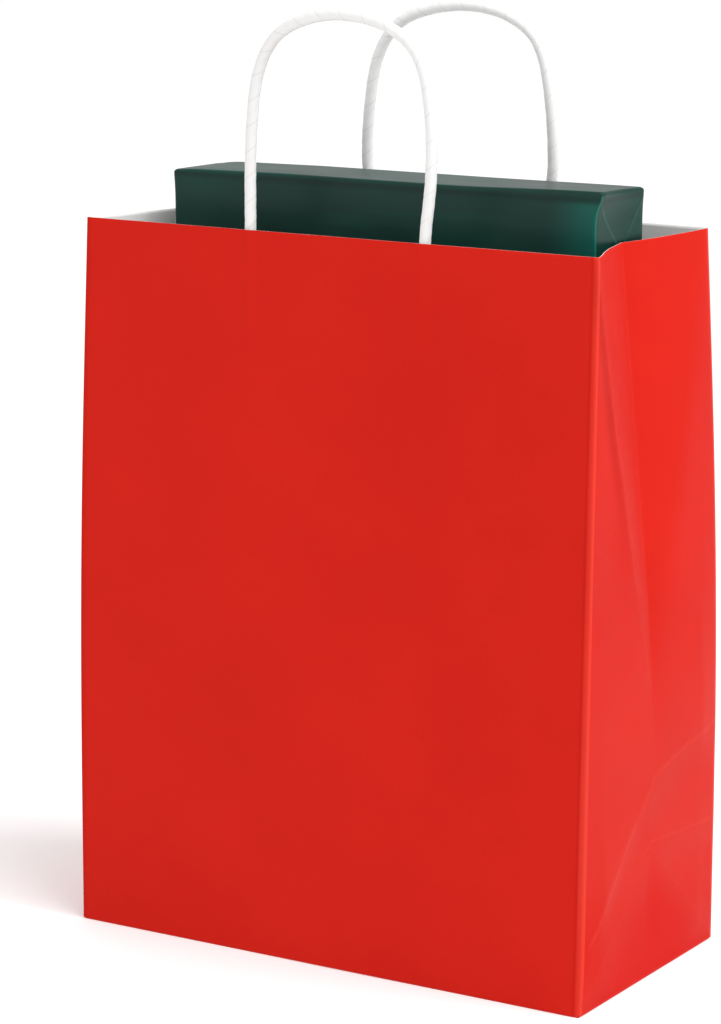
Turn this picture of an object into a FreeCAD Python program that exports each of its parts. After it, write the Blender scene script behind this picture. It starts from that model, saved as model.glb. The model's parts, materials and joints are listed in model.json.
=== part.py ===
"""Paper gift bag with twisted-paper handles, a stiff base board and a wrapped present inside.

Frame: millimetres, +Z up, origin on the floor at the centre of the base.
+X is to the right across the front panel, -Y is the front.
The bag is one sheet of paper: each panel between two of its creases is a node of its own.
"""

import FreeCAD, Part
import Sketcher
import math
import os

from FreeCAD import Placement, Rotation, Vector

doc = FreeCAD.newDocument("gift_bag")

# ---------------------------------------------------------------- driving dimensions
SIZES = [
    ("bag_width", 256.0, "front panel, corner crease to corner crease"),
    ("base_depth", 124.0, "gusset width at the base"),
    ("panel_height", 320.0, "front panel along the paper, floor to mouth"),
    ("paper", 0.3, "paper thickness"),
    ("front_lean", 12.0, "how far the front panel's top edge leans in"),
    ("rear_lean", 8.0, "how far the back panel's top edge leans in"),
    ("gusset_tuck", 15.0, "how far the gusset's centre crease is pushed in at the mouth"),
    ("tuck_start", 130.0, "height where the gusset's centre crease starts to lean in"),
    ("seam_flap_width", 20.0, "glue flap inside the back panel"),
    ("seam_flap_gap", 0.6, "glue flap to the corner crease"),
    ("base_overlap", 12.0, "how far the front and rear base flaps pass the middle"),
    ("flap_taper", 30.0, "how far a base flap's corners are cut back"),
    ("fold_gap", 0.1, "base flap edge to the panel it is folded from"),
    ("board_thickness", 1.2, "grey card in the base"),
    ("board_gap", 1.0, "base board edge to the walls"),
    ("patch_width", 140.0, "handle patch across"),
    ("patch_height", 52.0, "handle patch up the panel"),
    ("patch_drop", 4.0, "handle patch below the mouth"),
    ("patch_paper", 0.3, "handle patch thickness"),
    ("cord_diameter", 5.0, "twisted paper cord"),
    ("cord_gap", 0.1, "cord to the patch that is glued over it"),
    ("glued_length", 44.0, "cord end glued into the patch"),
    ("handle_spacing", 87.0, "between the legs of a handle at the mouth"),
    ("handle_rise", 90.3, "from the bend line to the top of a handle"),
    ("front_handle_shift", 0.6, "from the middle of the panel to the middle of its handle, to the right"),
    ("rear_handle_shift", 2.5, "from the middle of the panel to the middle of its handle, to the right"),
    ("hinge_gap", 0.3, "moving cord to the glued cord and to the mouth"),
    ("front_handle_lean", 0.0, "degrees from upright, outwards"),
    ("rear_handle_lean", 1.4, "degrees from upright, outwards"),
    ("present_left_gap", 11.8, "wrapped present to the tucked left gusset"),
    ("present_right_gap", 2.9, "wrapped present to the tucked right gusset"),
    ("present_depth", 34.0, "wrapped present, front to back"),
    ("present_centre_y", -3.0, "middle of the present, from the middle of the bag"),
    ("present_shows", 18.6, "how far the present stands out of the mouth"),
    ("rest_gap", 0.2, "present to the base board"),
    ("wrap_paper", 0.2, "wrapping paper thickness"),
    ("wrap_slack", 0.2, "wrapping paper to the gift box"),
    ("card_thickness", 0.8, "gift box board"),
    ("lid_gap", 0.4, "gift box lid to its tray"),
    ("lid_depth", 20.0, "skirt of the gift box lid"),
    ("tape_width", 19.0, "adhesive tape"),
    ("tape_length", 45.0, "one strip of adhesive tape"),
    ("tape_thickness", 0.1, "adhesive tape"),
    ("tape_pitch", 70.0, "between tape strips along the back seam"),
]

sheet = doc.addObject("Spreadsheet::Sheet", "Sizes")
for row, (alias, value, note) in enumerate(SIZES, start=1):
    sheet.set(f"A{row}", note)
    sheet.set(f"B{row}", str(value))
    sheet.setAlias(f"B{row}", alias)
doc.recompute()


def size(alias):
    """The value of one driving dimension, read back from the sheet."""
    return float(sheet.get(alias))


paper = size("paper")
half_width = size("bag_width") / 2
half_depth = size("base_depth") / 2
panel_height = size("panel_height")
front_angle = math.degrees(math.asin(size("front_lean") / panel_height))
rear_angle = math.degrees(math.asin(size("rear_lean") / panel_height))

UP = Vector(0, 0, 1)
ACROSS = Vector(1, 0, 0)

nodes = []


def keep(node):
    """Adds an object to the sub-parts that are checked and written."""
    nodes.append(node)
    return node


def code_shape(label, shape, placement=Placement()):
    """A sub-part whose shape is worked out here from the sheet's values."""
    feature = doc.addObject("Part::Feature", label)
    feature.Label = label
    feature.Shape = shape
    feature.Placement = placement
    return keep(feature)


def panel_frame(side, up_the_panel=0.0, inwards=0.0):
    """Frame on a leaning panel: X across, Y inwards through the paper, Z up the panel from the floor."""
    if side == "front":
        lean = Placement(Vector(0, -half_depth, 0), Rotation(ACROSS, -front_angle))
    else:
        turned = Rotation(UP, 180).multiply(Rotation(ACROSS, -rear_angle))
        lean = Placement(Vector(0, half_depth, 0), turned)
    return lean.multiply(Placement(Vector(0, inwards, up_the_panel), Rotation()))


# ---------------------------------------------------------------- the folded sheet
def crossing(planes):
    """The point where three planes meet; each plane is (normal, distance from the origin)."""
    (n1, d1), (n2, d2), (n3, d3) = planes
    total = n2.cross(n3) * d1 + n3.cross(n1) * d2 + n1.cross(n2) * d3
    return total * (1 / n1.dot(n2.cross(n3)))


def inside_plane(a, b, c, towards):
    """The plane through three points, moved by the paper's thickness towards a point inside the bag."""
    normal = (b - a).cross(c - a).normalize()
    if normal.dot(towards - a) < 0:
        normal = normal * -1
    return normal, normal.dot(a) + paper


fold_length = panel_height - size("tuck_start")
fold_rise = math.sqrt(fold_length**2 - size("gusset_tuck") ** 2)
front_top_z = math.sqrt(panel_height**2 - size("front_lean") ** 2)
rear_top_z = math.sqrt(panel_height**2 - size("rear_lean") ** 2)
mouth_fold_z = size("tuck_start") + fold_rise
bag_middle = Vector(0, 0, panel_height / 2)

outer = {}
inner = {}
for side, sign in (("left", -1), ("right", 1)):
    base_front = Vector(sign * half_width, -half_depth, 0)
    base_rear = Vector(sign * half_width, half_depth, 0)
    base_middle = Vector(sign * half_width, 0, 0)
    fold_start = Vector(sign * half_width, 0, size("tuck_start"))
    top_front = Vector(sign * half_width, -half_depth + size("front_lean"), front_top_z)
    top_rear = Vector(sign * half_width, half_depth - size("rear_lean"), rear_top_z)
    mouth_fold = Vector(sign * (half_width - size("gusset_tuck")), 0, mouth_fold_z)

    across = ACROSS * (2 * half_width)
    front_face = inside_plane(base_front, top_front, base_front + across, bag_middle)
    rear_face = inside_plane(base_rear, top_rear, base_rear + across, bag_middle)
    side_face = inside_plane(base_front, base_rear, fold_start, bag_middle)
    front_fold = inside_plane(top_front, fold_start, mouth_fold, bag_middle)
    rear_fold = inside_plane(top_rear, fold_start, mouth_fold, bag_middle)
    floor = (UP, 0.0)
    mouth = (UP, mouth_fold_z)
    middle = (Vector(0, 1, 0), 0.0)

    for name, point, planes in (
        ("base_front", base_front, (front_face, side_face, floor)),
        ("base_rear", base_rear, (rear_face, side_face, floor)),
        ("base_middle", base_middle, (middle, side_face, floor)),
        ("fold_start", fold_start, (side_face, front_fold, rear_fold)),
        ("top_front", top_front, (front_face, side_face, front_fold)),
        ("top_rear", top_rear, (rear_face, side_face, rear_fold)),
        ("mouth_fold", mouth_fold, (front_fold, rear_fold, mouth)),
    ):
        outer[f"{side}_{name}"] = point
        inner[f"{side}_{name}"] = crossing(planes)


def polygon_face(points):
    """A flat face round a closed outline of points."""
    return Part.Face(Part.makePolygon(points + points[:1]))


def folded_panel(label, corners):
    """One panel of the sheet, between its creases. Neighbours meet on the mitre that they share."""
    faces = [
        polygon_face([outer[corner] for corner in corners]),
        polygon_face([inner[corner] for corner in corners]),
    ]
    for first, second in zip(corners, corners[1:] + corners[:1]):
        low, high = sorted((first, second))
        faces.append(polygon_face([outer[low], outer[high], inner[high]]))
        faces.append(polygon_face([outer[low], inner[high], inner[low]]))
    shell = Part.makeShell(faces)
    shell.sewShape()
    solid = Part.makeSolid(shell)
    if solid.Volume < 0:
        solid.reverse()
    return code_shape(label, solid)


folded_panel("front_panel", ["left_base_front", "right_base_front", "right_top_front", "left_top_front"])
folded_panel("back_panel", ["left_base_rear", "right_base_rear", "right_top_rear", "left_top_rear"])
for side in ("left", "right"):
    for end in ("front", "rear"):
        lower = ["base_middle", f"base_{end}", f"top_{end}", "fold_start"]
        upper = ["fold_start", f"top_{end}", "mouth_fold"]
        folded_panel(f"{side}_gusset_{end}_lower", [f"{side}_{corner}" for corner in lower])
        folded_panel(f"{side}_gusset_{end}_upper", [f"{side}_{corner}" for corner in upper])


# ---------------------------------------------------------------- flat pieces, as sketches and pads
def origin_plane(body, role):
    """One of a body's own origin planes."""
    return [feature for feature in body.Origin.OriginFeatures if feature.Role == role][0]


def flat_plate(label, plane, width, height, thickness, towards_plus=True):
    """A rectangle centred on the sketch's X axis with its lower edge on it, padded by a thickness.

    width, height and thickness are expressions over the sheet.
    """
    body = doc.addObject("PartDesign::Body", label)
    body.Label = label
    sketch = body.newObject("Sketcher::SketchObject", f"{label}_outline")
    sketch.AttachmentSupport = (origin_plane(body, plane), [""])
    sketch.MapMode = "FlatFace"
    corners = [Vector(-10, 0, 0), Vector(10, 0, 0), Vector(10, 10, 0), Vector(-10, 10, 0)]
    for first, second in zip(corners, corners[1:] + corners[:1]):
        sketch.addGeometry(Part.LineSegment(first, second), False)
    for edge in range(4):
        sketch.addConstraint(Sketcher.Constraint("Coincident", edge, 2, (edge + 1) % 4, 1))
    sketch.addConstraint(Sketcher.Constraint("Horizontal", 0))
    sketch.addConstraint(Sketcher.Constraint("Vertical", 1))
    sketch.addConstraint(Sketcher.Constraint("Horizontal", 2))
    sketch.addConstraint(Sketcher.Constraint("Symmetric", 0, 1, 0, 2, -1, 1))
    wide = sketch.addConstraint(Sketcher.Constraint("DistanceX", 0, 1, 0, 2, 20))
    high = sketch.addConstraint(Sketcher.Constraint("DistanceY", 1, 1, 1, 2, 10))
    sketch.renameConstraint(wide, "width")
    sketch.renameConstraint(high, "height")
    sketch.setExpression("Constraints.width", width)
    sketch.setExpression("Constraints.height", height)
    pad = body.newObject("PartDesign::Pad", f"{label}_pad")
    pad.Profile = sketch
    pad.setExpression("Length", thickness)
    pad.Reversed = not towards_plus
    body.Tip = pad
    return keep(body)


def base_flap(label, outline, level):
    """A flap of the sheet folded flat under the bag; level counts paper layers above the floor."""
    body = doc.addObject("PartDesign::Body", label)
    body.Label = label
    sketch = body.newObject("Sketcher::SketchObject", f"{label}_outline")
    sketch.AttachmentSupport = (origin_plane(body, "XY_Plane"), [""])
    sketch.MapMode = "FlatFace"
    for first, second in zip(outline, outline[1:] + outline[:1]):
        sketch.addGeometry(Part.LineSegment(Vector(*first, 0), Vector(*second, 0)), False)
    pad = body.newObject("PartDesign::Pad", f"{label}_pad")
    pad.Profile = sketch
    pad.setExpression("Length", "Sizes.paper")
    body.Tip = pad
    body.Placement = Placement(Vector(0, 0, level * paper), Rotation())
    return keep(body)


flap_x = half_width - paper - size("fold_gap")
flap_y = half_depth - 2 * paper - size("fold_gap")
flap_end = size("base_overlap")
cut_back = size("flap_taper")
base_flap(
    "base_flap_front",
    [(-flap_x, -flap_y), (flap_x, -flap_y), (flap_x - cut_back, flap_end), (-flap_x + cut_back, flap_end)],
    0,
)
base_flap(
    "base_flap_rear",
    [(flap_x, flap_y), (-flap_x, flap_y), (-flap_x + cut_back, -flap_end), (flap_x - cut_back, -flap_end)],
    1,
)
for side, sign in (("left", -1), ("right", 1)):
    tip_x = flap_x - half_depth
    base_flap(
        f"base_flap_{side}",
        [
            (sign * flap_x, -flap_y),
            (sign * flap_x, flap_y),
            (sign * tip_x, cut_back),
            (sign * tip_x, -cut_back),
        ],
        2,
    )

board_level = 3 * paper
base_board = flat_plate(
    "base_board",
    "XY_Plane",
    "Sizes.bag_width - 2 * Sizes.paper - 2 * Sizes.board_gap",
    "Sizes.base_depth - 4 * Sizes.paper - 2 * Sizes.board_gap",
    "Sizes.board_thickness",
)
board_front = -half_depth + 2 * paper + size("board_gap")
base_board.Placement = Placement(Vector(0, board_front, board_level), Rotation())

seam_flap = flat_plate(
    "side_seam_flap",
    "XZ_Plane",
    "Sizes.seam_flap_width",
    "Sizes.panel_height - 4 * Sizes.paper",
    "Sizes.paper",
    towards_plus=False,
)
# It starts above the base flaps. The back panel's frame is turned round, so the bag's left edge is on its plus side.
flap_middle = half_width - paper - size("seam_flap_gap") - size("seam_flap_width") / 2
seam_flap.Placement = panel_frame("rear", 4 * paper, paper).multiply(
    Placement(Vector(flap_middle, 0, 0), Rotation())
)


# ---------------------------------------------------------------- handle patches and glued cord ends
cord_radius = size("cord_diameter") / 2
cord_inwards = paper + size("patch_paper") + cord_radius
hinge_up = panel_height + cord_radius + size("hinge_gap")


def primitive(kind, name, expressions):
    """A Part primitive with its sizes and its place bound to the sheet."""
    shape = doc.addObject(f"Part::{kind}", name)
    for prop, expression in expressions.items():
        shape.setExpression(prop, expression)
    return shape


PATCH_FOOT = "Sizes.panel_height - Sizes.patch_drop - Sizes.patch_height"
PATCH_BACK = "Sizes.paper + Sizes.patch_paper"
CORD_AXIS = f"{PATCH_BACK} + Sizes.cord_diameter / 2"
# A handle's shift in its panel's frame: the back panel's frame is turned round.
SHIFT = {"front": "Sizes.front_handle_shift", "rear": "-Sizes.rear_handle_shift"}


def cord_cylinder(name, side, sign, radius, foot, length):
    """A cylinder on the axis of one glued cord end, in the panel's frame."""
    return primitive(
        "Cylinder",
        name,
        {
            "Radius": radius,
            "Height": length,
            "Placement.Base.x": f"{SHIFT[side]} + {sign} * Sizes.handle_spacing / 2",
            "Placement.Base.y": CORD_AXIS,
            "Placement.Base.z": foot,
        },
    )


for side in ("front", "rear"):
    outer_patch = flat_plate(
        f"{side}_patch_outer",
        "XZ_Plane",
        "Sizes.patch_width",
        "Sizes.patch_height",
        "Sizes.patch_paper",
        towards_plus=False,
    )
    patch_foot = panel_height - size("patch_drop") - size("patch_height")
    shift = size(f"{side}_handle_shift")
    outer_patch.Placement = panel_frame(side, patch_foot, paper).multiply(
        Placement(Vector(shift if side == "front" else -shift, 0, 0), Rotation())
    )

    # Inner patch: a strip that is glued down flat and bulges over both cord ends.
    strip = primitive(
        "Box",
        f"{side}_patch_strip",
        {
            "Length": "Sizes.patch_width",
            "Width": "Sizes.patch_paper",
            "Height": "Sizes.patch_height",
            "Placement.Base.x": f"{SHIFT[side]} - Sizes.patch_width / 2",
            "Placement.Base.y": PATCH_BACK,
            "Placement.Base.z": PATCH_FOOT,
        },
    )
    below = primitive(
        "Box",
        f"{side}_patch_below",
        {
            "Length": "Sizes.patch_width",
            "Width": "2 * Sizes.cord_diameter",
            "Height": "Sizes.patch_height",
            "Placement.Base.x": f"{SHIFT[side]} - Sizes.patch_width / 2",
            "Placement.Base.y": f"{PATCH_BACK} - 2 * Sizes.cord_diameter",
            "Placement.Base.z": PATCH_FOOT,
        },
    )
    skin_radius = "Sizes.cord_diameter / 2 + Sizes.cord_gap + Sizes.patch_paper"
    room_radius = "Sizes.cord_diameter / 2 + Sizes.cord_gap"
    skins = [strip]
    rooms = [below]
    for name, sign in (("left", -1), ("right", 1)):
        skins.append(
            cord_cylinder(f"{side}_{name}_skin", side, sign, skin_radius, PATCH_FOOT, "Sizes.patch_height")
        )
        rooms.append(
            cord_cylinder(f"{side}_{name}_room", side, sign, room_radius, PATCH_FOOT, "Sizes.patch_height")
        )
    swollen = doc.addObject("Part::MultiFuse", f"{side}_patch_swollen")
    swollen.Shapes = skins
    hollows = doc.addObject("Part::MultiFuse", f"{side}_patch_hollows")
    hollows.Shapes = rooms
    inner_patch = doc.addObject("Part::Cut", f"{side}_patch_inner")
    inner_patch.Label = f"{side}_patch_inner"
    inner_patch.Base = swollen
    inner_patch.Tool = hollows
    inner_patch.Placement = panel_frame(side)
    keep(inner_patch)

    # Both glued ends of one cord, up to the mouth.
    ends = doc.addObject("Part::Compound", f"{side}_cord_ends")
    ends.Label = f"{side}_cord_ends"
    ends.Links = [
        cord_cylinder(
            f"{side}_{name}_cord_end",
            side,
            sign,
            "Sizes.cord_diameter / 2",
            "Sizes.panel_height - Sizes.glued_length",
            "Sizes.glued_length",
        )
        for name, sign in (("left", -1), ("right", 1))
    ]
    ends.Placement = panel_frame(side)
    keep(ends)


# ---------------------------------------------------------------- handle loops
# A handle's route from its left bend to its right one, as shares of half the spacing and of the rise.
# Each cord was bent by hand, so the two differ and neither is symmetrical.
ROUTES = {
    "front": [
        (-1.0, 0.0),
        (-1.0, 0.225),
        (-0.981, 0.434),
        (-0.917, 0.709),
        (-0.689, 0.902),
        (-0.245, 0.989),
        (0.164, 1.003),
        (0.607, 0.961),
        (0.966, 0.836),
        (1.08, 0.548),
        (1.078, 0.26),
        (1.0, 0.0),
    ],
    "rear": [
        (-1.0, 0.0),
        (-1.111, 0.213),
        (-1.08, 0.425),
        (-1.003, 0.698),
        (-0.752, 0.879),
        (-0.315, 0.955),
        (0.15, 0.975),
        (0.601, 0.93),
        (0.942, 0.811),
        (1.066, 0.526),
        (1.128, 0.225),
        (1.0, 0.0),
    ],
}
RUN_SHARE = 0.45


def handle_route(side):
    """The corners of a handle's centreline in its own plane, left leg to right leg."""
    half_spacing, rise = size("handle_spacing") / 2, size("handle_rise")
    return [Vector(x * half_spacing, 0, z * rise) for x, z in ROUTES[side]]


def rounded_wire(route, label):
    """Straight runs joined by tangent arcs, each as large as its two runs allow."""
    edges = []
    start = route[0]
    radii = []
    for before, corner, after in zip(route, route[1:], route[2:]):
        arriving = (corner - before).normalize()
        leaving = (after - corner).normalize()
        half_turn = arriving.getAngle(leaving) / 2
        reach = RUN_SHARE * min(corner.distanceToPoint(before), corner.distanceToPoint(after))
        radius = reach / math.tan(half_turn)
        radii.append(round(radius, 1))
        arc_start = corner - arriving * reach
        arc_end = corner + leaving * reach
        to_centre = (leaving - arriving).normalize()
        arc_middle = corner + to_centre * (radius / math.cos(half_turn) - radius)
        edges.append(Part.LineSegment(start, arc_start).toShape())
        edges.append(Part.Arc(arc_start, arc_middle, arc_end).toShape())
        start = arc_end
    edges.append(Part.LineSegment(start, route[-1]).toShape())
    print(f"{label}: arc radii {radii} mm")
    return Part.Wire(edges)


def cord_loop(route, label):
    """A round cord along the route, with a half ball on each end that turns in place at the bend line."""
    wire = rounded_wire(route, label)
    start_run = (route[1] - route[0]).normalize()
    end_run = (route[-2] - route[-1]).normalize()
    section = Part.Wire([Part.makeCircle(cord_radius, route[0], start_run)])
    tube = wire.makePipeShell([section], True, False)
    expected = math.pi * cord_radius**2 * wire.Length
    print(f"{label}: centreline {wire.Length:.1f} mm, tube volume / expected {tube.Volume / expected:.4f}")
    if abs(tube.Volume / expected - 1) > 0.01:
        raise ValueError(f"{label} is not a clean tube")
    loop = tube
    for point, run in ((route[0], start_run), (route[-1], end_run)):
        loop = loop.fuse(Part.makeSphere(cord_radius, point, run, -90, 0, 360))
    return loop.removeSplitter()


hinges = {}
for side, outwards in (("front", 1), ("rear", -1)):
    hinge = panel_frame(side, hinge_up, cord_inwards).Base
    lean = outwards * size(f"{side}_handle_lean")
    loop = cord_loop(handle_route(side), f"{side}_handle_loop")
    middle = hinge + Vector(size(f"{side}_handle_shift"), 0, 0)
    code_shape(f"{side}_handle_loop", loop, Placement(middle, Rotation(ACROSS, lean)))
    hinges[side] = hinge
    print(f"{side} hinge at y {hinge.y:.3f} z {hinge.z:.3f}")


# ---------------------------------------------------------------- the wrapped present
# It fills the mouth between the tucked gussets and stands on the base board.
PRESENT_LEFT = "-Sizes.bag_width / 2 + Sizes.gusset_tuck + Sizes.paper + Sizes.present_left_gap"
PRESENT_RIGHT = "Sizes.bag_width / 2 - Sizes.gusset_tuck - Sizes.paper - Sizes.present_right_gap"
PRESENT_MIDDLE = f"(({PRESENT_LEFT}) + ({PRESENT_RIGHT})) / 2"
PRESENT_FRONT = "Sizes.present_centre_y - Sizes.present_depth / 2"
FOOT = "3 * Sizes.paper + Sizes.board_thickness + Sizes.rest_gap"
PRESENT_HEIGHT = f"Sizes.panel_height + Sizes.present_shows - ({FOOT})"


def present_box(name, inset, front="0", back="0"):
    """A block in the present's place, inset on all sides; front and back cut it shorter in Y."""
    return primitive(
        "Box",
        name,
        {
            "Length": f"({PRESENT_RIGHT}) - ({PRESENT_LEFT}) - 2 * ({inset})",
            "Width": f"Sizes.present_depth - 2 * ({inset}) - ({front}) - ({back})",
            "Height": f"{PRESENT_HEIGHT} - 2 * ({inset})",
            "Placement.Base.x": f"{PRESENT_LEFT} + ({inset})",
            "Placement.Base.y": f"{PRESENT_FRONT} + ({inset}) + ({front})",
            "Placement.Base.z": f"{FOOT} + ({inset})",
        },
    )


def hollow_box(label, solid, room):
    """A block with another block taken out of it."""
    cut = doc.addObject("Part::Cut", label)
    cut.Label = label
    cut.Base = solid
    cut.Tool = room
    return keep(cut)


WRAP = "Sizes.wrap_paper"
LID = f"{WRAP} + Sizes.wrap_slack"
LID_ROOM = f"{LID} + Sizes.card_thickness"
TRAY = f"{LID_ROOM} + Sizes.lid_gap"
TRAY_ROOM = f"{TRAY} + Sizes.card_thickness"

hollow_box("gift_wrap", present_box("wrap_outside", "0"), present_box("wrap_inside", WRAP))

# The lid's skirt faces back; past its rim the block is cut away.
lid_rim = f"Sizes.present_depth - 2 * ({LID}) - Sizes.lid_depth"
hollow_box(
    "gift_box_lid",
    present_box("lid_outside", LID, back=lid_rim),
    present_box("lid_inside", LID_ROOM, back="-2 * Sizes.card_thickness"),
)
# The tray opens forwards into the lid and carries the back of the box.
tray_floor = "-(Sizes.card_thickness + Sizes.lid_gap)"
hollow_box(
    "gift_box_tray",
    present_box("tray_outside", TRAY, back=tray_floor),
    present_box("tray_inside", TRAY_ROOM, front="-2 * Sizes.card_thickness", back=tray_floor),
)

# Tape: strips across the long seam on the back of the wrap, and one on each folded end.
TAPE_FOOT = f"{FOOT} + ({PRESENT_HEIGHT}) / 2 - Sizes.tape_length / 2"
tape_strips = []
for number, step in enumerate((-1, 0, 1), start=1):
    tape_strips.append(
        primitive(
            "Box",
            f"seam_tape_{number}",
            {
                "Length": "Sizes.tape_width",
                "Width": "Sizes.tape_thickness",
                "Height": "Sizes.tape_length",
                "Placement.Base.x": f"{PRESENT_MIDDLE} + {step} * Sizes.tape_pitch - Sizes.tape_width / 2",
                "Placement.Base.y": f"{PRESENT_FRONT} + Sizes.present_depth",
                "Placement.Base.z": TAPE_FOOT,
            },
        )
    )
for name, end in (
    ("left_end_tape", f"{PRESENT_LEFT} - Sizes.tape_thickness"),
    ("right_end_tape", PRESENT_RIGHT),
):
    tape_strips.append(
        primitive(
            "Box",
            name,
            {
                "Length": "Sizes.tape_thickness",
                "Width": "Sizes.tape_width",
                "Height": "Sizes.tape_length",
                "Placement.Base.x": end,
                "Placement.Base.y": "Sizes.present_centre_y - Sizes.tape_width / 2",
                "Placement.Base.z": TAPE_FOOT,
            },
        )
    )
tape = doc.addObject("Part::Compound", "wrap_tape")
tape.Label = "wrap_tape"
tape.Links = tape_strips
keep(tape)


# ---------------------------------------------------------------- checks and export
doc.recompute()
for thing in doc.Objects:
    for problem in ("Invalid", "Error"):
        if problem in thing.State:
            raise ValueError(f"{thing.Label} is {problem}")

labels = [node.Label for node in nodes]
if len(set(labels)) != len(labels):
    raise ValueError("two sub-parts share a name")
for node in nodes:
    if node.Shape.isNull() or not node.Shape.isValid() or node.Shape.Volume <= 0:
        raise ValueError(f"{node.Label} has no valid solid")

os.makedirs("parts", exist_ok=True)
for node in nodes:
    node.Shape.exportStep(f"parts/{node.Label}.step")
    box = node.Shape.BoundBox
    print(
        f"{node.Label}: {len(node.Shape.Solids)} solid(s), {node.Shape.Volume:.1f} mm3,"
        f" x {box.XMin:.2f} {box.XMax:.2f} y {box.YMin:.2f} {box.YMax:.2f} z {box.ZMin:.2f} {box.ZMax:.2f}"
    )
print(f"{len(nodes)} nodes written")
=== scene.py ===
import json
import math

import bpy
import numpy as np
from mathutils import Matrix, Vector


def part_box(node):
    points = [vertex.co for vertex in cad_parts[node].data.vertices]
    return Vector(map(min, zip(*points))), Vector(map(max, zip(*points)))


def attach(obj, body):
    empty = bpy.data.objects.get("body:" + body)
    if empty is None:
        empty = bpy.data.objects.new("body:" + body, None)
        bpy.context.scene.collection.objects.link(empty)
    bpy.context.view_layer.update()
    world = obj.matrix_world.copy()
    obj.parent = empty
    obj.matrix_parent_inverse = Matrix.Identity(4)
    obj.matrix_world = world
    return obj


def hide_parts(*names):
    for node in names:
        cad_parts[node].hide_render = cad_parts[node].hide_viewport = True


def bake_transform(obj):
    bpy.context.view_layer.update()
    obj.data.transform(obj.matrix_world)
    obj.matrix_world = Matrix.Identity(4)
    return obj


# Looks of a paper gift bag: the folded paper skin, the twisted paper handles and the wrapped present.
# Lengths are in metres, in the CAD frame: +Z up, -Y to the front, origin on the floor under the
# middle of the base.
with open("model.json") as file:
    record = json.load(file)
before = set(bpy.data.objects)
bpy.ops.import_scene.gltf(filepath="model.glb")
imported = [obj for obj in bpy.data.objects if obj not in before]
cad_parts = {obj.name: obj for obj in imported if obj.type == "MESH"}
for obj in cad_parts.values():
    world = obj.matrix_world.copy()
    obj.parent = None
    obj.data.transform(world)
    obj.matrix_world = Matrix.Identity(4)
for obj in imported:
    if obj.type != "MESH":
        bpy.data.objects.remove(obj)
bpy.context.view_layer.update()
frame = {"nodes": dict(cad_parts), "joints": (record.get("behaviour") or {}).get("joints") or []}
nodes = frame["nodes"]
MM = 0.001

# ------------------------------------------------------------------ sizes read from the CAD frame
panel_low, panel_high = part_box("front_panel")
front_fold_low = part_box("right_gusset_front_upper")[0]
rear_fold_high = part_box("right_gusset_rear_upper")[1]
HALF_WIDTH = panel_high.x
HALF_DEPTH = -panel_low.y
MOUTH_Z = panel_high.z
FRONT_LEAN = front_fold_low.y + HALF_DEPTH
REAR_LEAN = HALF_DEPTH - rear_fold_high.y
LEAN = {"front": FRONT_LEAN, "rear": REAR_LEAN}
PAPER = 0.3 * MM
TUCK = HALF_WIDTH - front_fold_low.x - PAPER
TUCK_START = front_fold_low.z
HINGE = {j["child"]: Vector(j["pos_m"]) for j in frame["joints"] if j["type"] == "hinge"}
cord_low, cord_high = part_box("front_handle_loop")
CORD = cord_high.y - cord_low.y
ends_low, ends_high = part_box("front_cord_ends")
# The glued ends lean with their panel, so their box is a little taller than they are long.
LEANING_ADDS = 0.2 * MM
GLUED = ends_high.z - ends_low.z - LEANING_ADDS
# The two legs of each handle in X: each cord is glued in a little off the panel's middle.
LEGS = {
    side: (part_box(f"{side}_cord_ends")[0].x + CORD / 2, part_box(f"{side}_cord_ends")[1].x - CORD / 2)
    for side in ("front", "rear")
}


# ------------------------------------------------------------------ camera, light and floor
# The camera's focal length and sensor width are in millimetres, its turns in degrees.
LENS, SENSOR = 127.9, 36.0
CAMERA_YAW, CAMERA_PITCH, CAMERA_ROLL = 32.11, 12.07, -0.30
CAMERA_PLACE = (0.8198, -1.3343, 0.5267)
# Each lamp: where it is, where it points, its width and height, and its power in watts.
LAMPS = {
    "key": ((1.55, 0.30, 1.95), (0.0, 0.0, 0.2), 1.0, 1.1, 21.5),
    "front_fill": ((-0.9, -2.2, 1.0), (0.0, 0.0, 0.15), 1.6, 1.2, 4.5),
    "top": ((0.85, -0.30, 2.15), (0.0, 0.0, 0.3), 0.9, 0.9, 20.0),
}
SKY_STRENGTH = 0.72
FLOOR_REACH = 9.0
FLOOR_WHITE = 0.88
# The floor's glow grows between two distances from the bag, from its first strength to its second.
GLOW_FROM, GLOW_TO = 0.45, 1.9
GLOW_NEAR, GLOW_FAR = 0.20, 0.36


def make_camera():
    """Long lens, to the right of the front and a little above the bag."""
    data = bpy.data.cameras.new("camera")
    data.lens = LENS
    data.sensor_width = SENSOR
    data.clip_start, data.clip_end = 0.05, 50.0
    camera = bpy.data.objects.new("camera", data)
    bpy.context.scene.collection.objects.link(camera)
    around = Matrix.Rotation(math.radians(CAMERA_YAW), 4, "Z")
    down = Matrix.Rotation(math.pi / 2 - math.radians(CAMERA_PITCH), 4, "X")
    roll = Matrix.Rotation(math.radians(CAMERA_ROLL), 4, "Z")
    camera.matrix_world = Matrix.Translation(CAMERA_PLACE) @ (around @ down @ roll)
    bpy.context.scene.camera = camera


def soft_box(name, place, aim, width, height, power):
    """A rectangular area light at place, turned to aim."""
    data = bpy.data.lights.new(name, "AREA")
    data.shape = "RECTANGLE"
    data.size, data.size_y = width, height
    data.energy = power
    light = bpy.data.objects.new(name, data)
    bpy.context.scene.collection.objects.link(light)
    light.location = place
    light.rotation_euler = (Vector(aim) - Vector(place)).to_track_quat("-Z", "Y").to_euler()


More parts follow.
